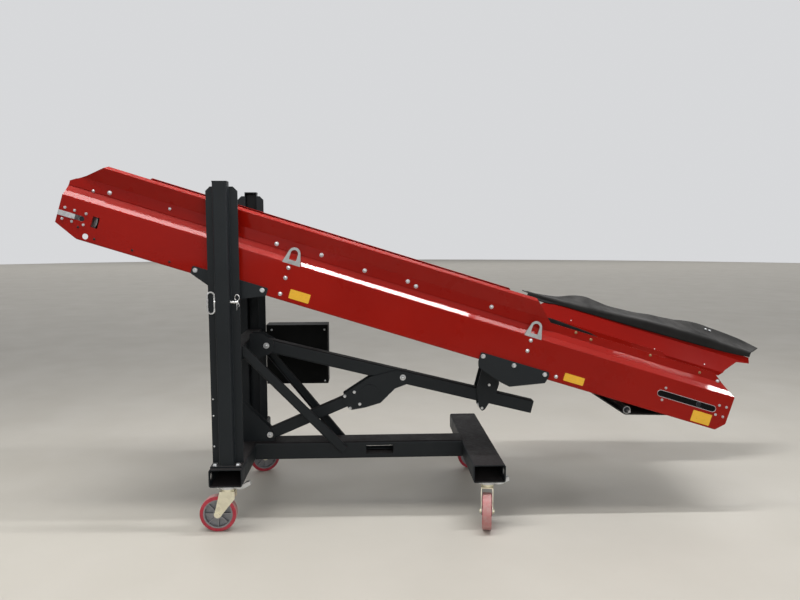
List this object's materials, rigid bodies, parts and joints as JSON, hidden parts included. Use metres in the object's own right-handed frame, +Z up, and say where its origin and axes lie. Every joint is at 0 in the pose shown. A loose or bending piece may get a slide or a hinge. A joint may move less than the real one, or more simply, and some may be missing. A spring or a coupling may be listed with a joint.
{
  "type": "mobile potato conveyor",
  "caption": "Inclined belt conveyor with red side plates and a rubber-edged hopper, hung between two masts on a dark base with swivel casters.",
  "frame": {"origin": "on the floor, under the middle of the length and on the machine's middle plane", "axes": "+X to the low loading end, +Y to the far side with the hopper wall and the control box, +Z up"},
  "size_m": [4.5418, 1.2631, 2.009],
  "materials": {
    "frame_paint": "satin anthracite powder coat",
    "red_paint": "glossy red paint",
    "zinc": "zinc plated steel",
    "fork_zinc": "yellow passivated zinc",
    "belt_rubber": "black ribbed conveyor rubber",
    "sheet_rubber": "matt black rubber sheet",
    "steel": "bright steel",
    "box_paint": "textured black powder coat",
    "hub_alloy": "cast aluminium",
    "tread_red": "red polyurethane"
  },
  "bodies": {
    "base": {"cross_tube_left": "frame_paint", "cross_tube_right": "frame_paint", "base_beam": "frame_paint", "mast_near": "frame_paint", "mast_far": "frame_paint", "mast_cross_beam": "frame_paint", "arm_pivot_plates": "frame_paint", "gusset_plates": "frame_paint", "brace_near": "frame_paint", "brace_far": "frame_paint", "conveyor_arm": "frame_paint", "strut_tube": "frame_paint", "strut_clamps": "frame_paint", "elbow_plates": "frame_paint", "linkage_pins": "zinc", "lock_pins": "zinc", "control_box": "box_paint", "box_bracket": "frame_paint", "caster_plates": "zinc"},
    "carriage": {"carriage_blocks": "frame_paint"},
    "conveyor": {"side_plate_near": "red_paint", "side_plate_far": "red_paint", "board_near": "red_paint", "board_far": "red_paint", "hopper_wall": "red_paint", "hopper_rubber": "sheet_rubber", "belt": "belt_rubber", "head_drum": "steel", "tail_drum": "steel", "press_roller": "steel", "return_roller": "steel", "belt_bed": "steel", "cross_members": "red_paint", "skirts": "sheet_rubber", "wing_plates": "frame_paint", "bracket_plates": "frame_paint", "guide_cross_beam": "frame_paint", "lifting_eyes": "zinc", "head_tensioners": "zinc", "tail_bearing_plates": "box_paint", "guide_plates": "frame_paint", "guide_rollers": "zinc"},
    "fork_near_left": {"fork_near_left": "fork_zinc"},
    "wheel_near_left": {"hub_near_left": "hub_alloy", "tread_near_left": "tread_red"},
    "fork_far_left": {"fork_far_left": "fork_zinc"},
    "wheel_far_left": {"hub_far_left": "hub_alloy", "tread_far_left": "tread_red"},
    "fork_near_right": {"fork_near_right": "fork_zinc"},
    "wheel_near_right": {"hub_near_right": "hub_alloy", "tread_near_right": "tread_red"},
    "fork_far_right": {"fork_far_right": "fork_zinc"},
    "wheel_far_right": {"hub_far_right": "hub_alloy", "tread_far_right": "tread_red"}
  },
  "joints": [
    {"name": "carriage_lift", "type": "slide", "parent": "base", "child": "carriage", "axis": [0, 0, 1], "range_m": [0, 0.3]},
    {"name": "conveyor_tilt", "type": "hinge", "parent": "carriage", "child": "conveyor", "pos_m": [-1.36725, 0, 1.33], "axis": [0, 1, 0], "range_deg": [0, 10.44]},
    {"name": "swivel_near_left", "type": "hinge", "parent": "base", "child": "fork_near_left", "pos_m": [-1.36725, -0.473, 0.2605], "axis": [0, 0, 1], "continuous": true},
    {"name": "spin_near_left", "type": "hinge", "parent": "fork_near_left", "child": "wheel_near_left", "pos_m": [-1.42325, -0.473, 0.101], "axis": [0, 1, 0], "continuous": true},
    {"name": "swivel_far_left", "type": "hinge", "parent": "base", "child": "fork_far_left", "pos_m": [-1.36725, 0.473, 0.2605], "axis": [0, 0, 1], "continuous": true},
    {"name": "spin_far_left", "type": "hinge", "parent": "fork_far_left", "child": "wheel_far_left", "pos_m": [-1.31463, 0.49215, 0.101], "axis": [0.342, -0.9397, 0], "continuous": true},
    {"name": "swivel_near_right", "type": "hinge", "parent": "base", "child": "fork_near_right", "pos_m": [0.08175, -0.473, 0.2605], "axis": [0, 0, 1], "continuous": true},
    {"name": "spin_near_right", "type": "hinge", "parent": "fork_near_right", "child": "wheel_near_right", "pos_m": [0.07174, -0.5281, 0.101], "axis": [-0.9839, 0.1788, 0], "continuous": true},
    {"name": "swivel_far_right", "type": "hinge", "parent": "base", "child": "fork_far_right", "pos_m": [0.08175, 0.473, 0.2605], "axis": [0, 0, 1], "continuous": true},
    {"name": "spin_far_right", "type": "hinge", "parent": "fork_far_right", "child": "wheel_far_right", "pos_m": [0.13775, 0.473, 0.101], "axis": [0, -1, 0], "continuous": true}
  ],
  "couplings": [
    {"joint": "conveyor_tilt", "follows": "carriage_lift", "rad_per_m": 0.60596}
  ]
}
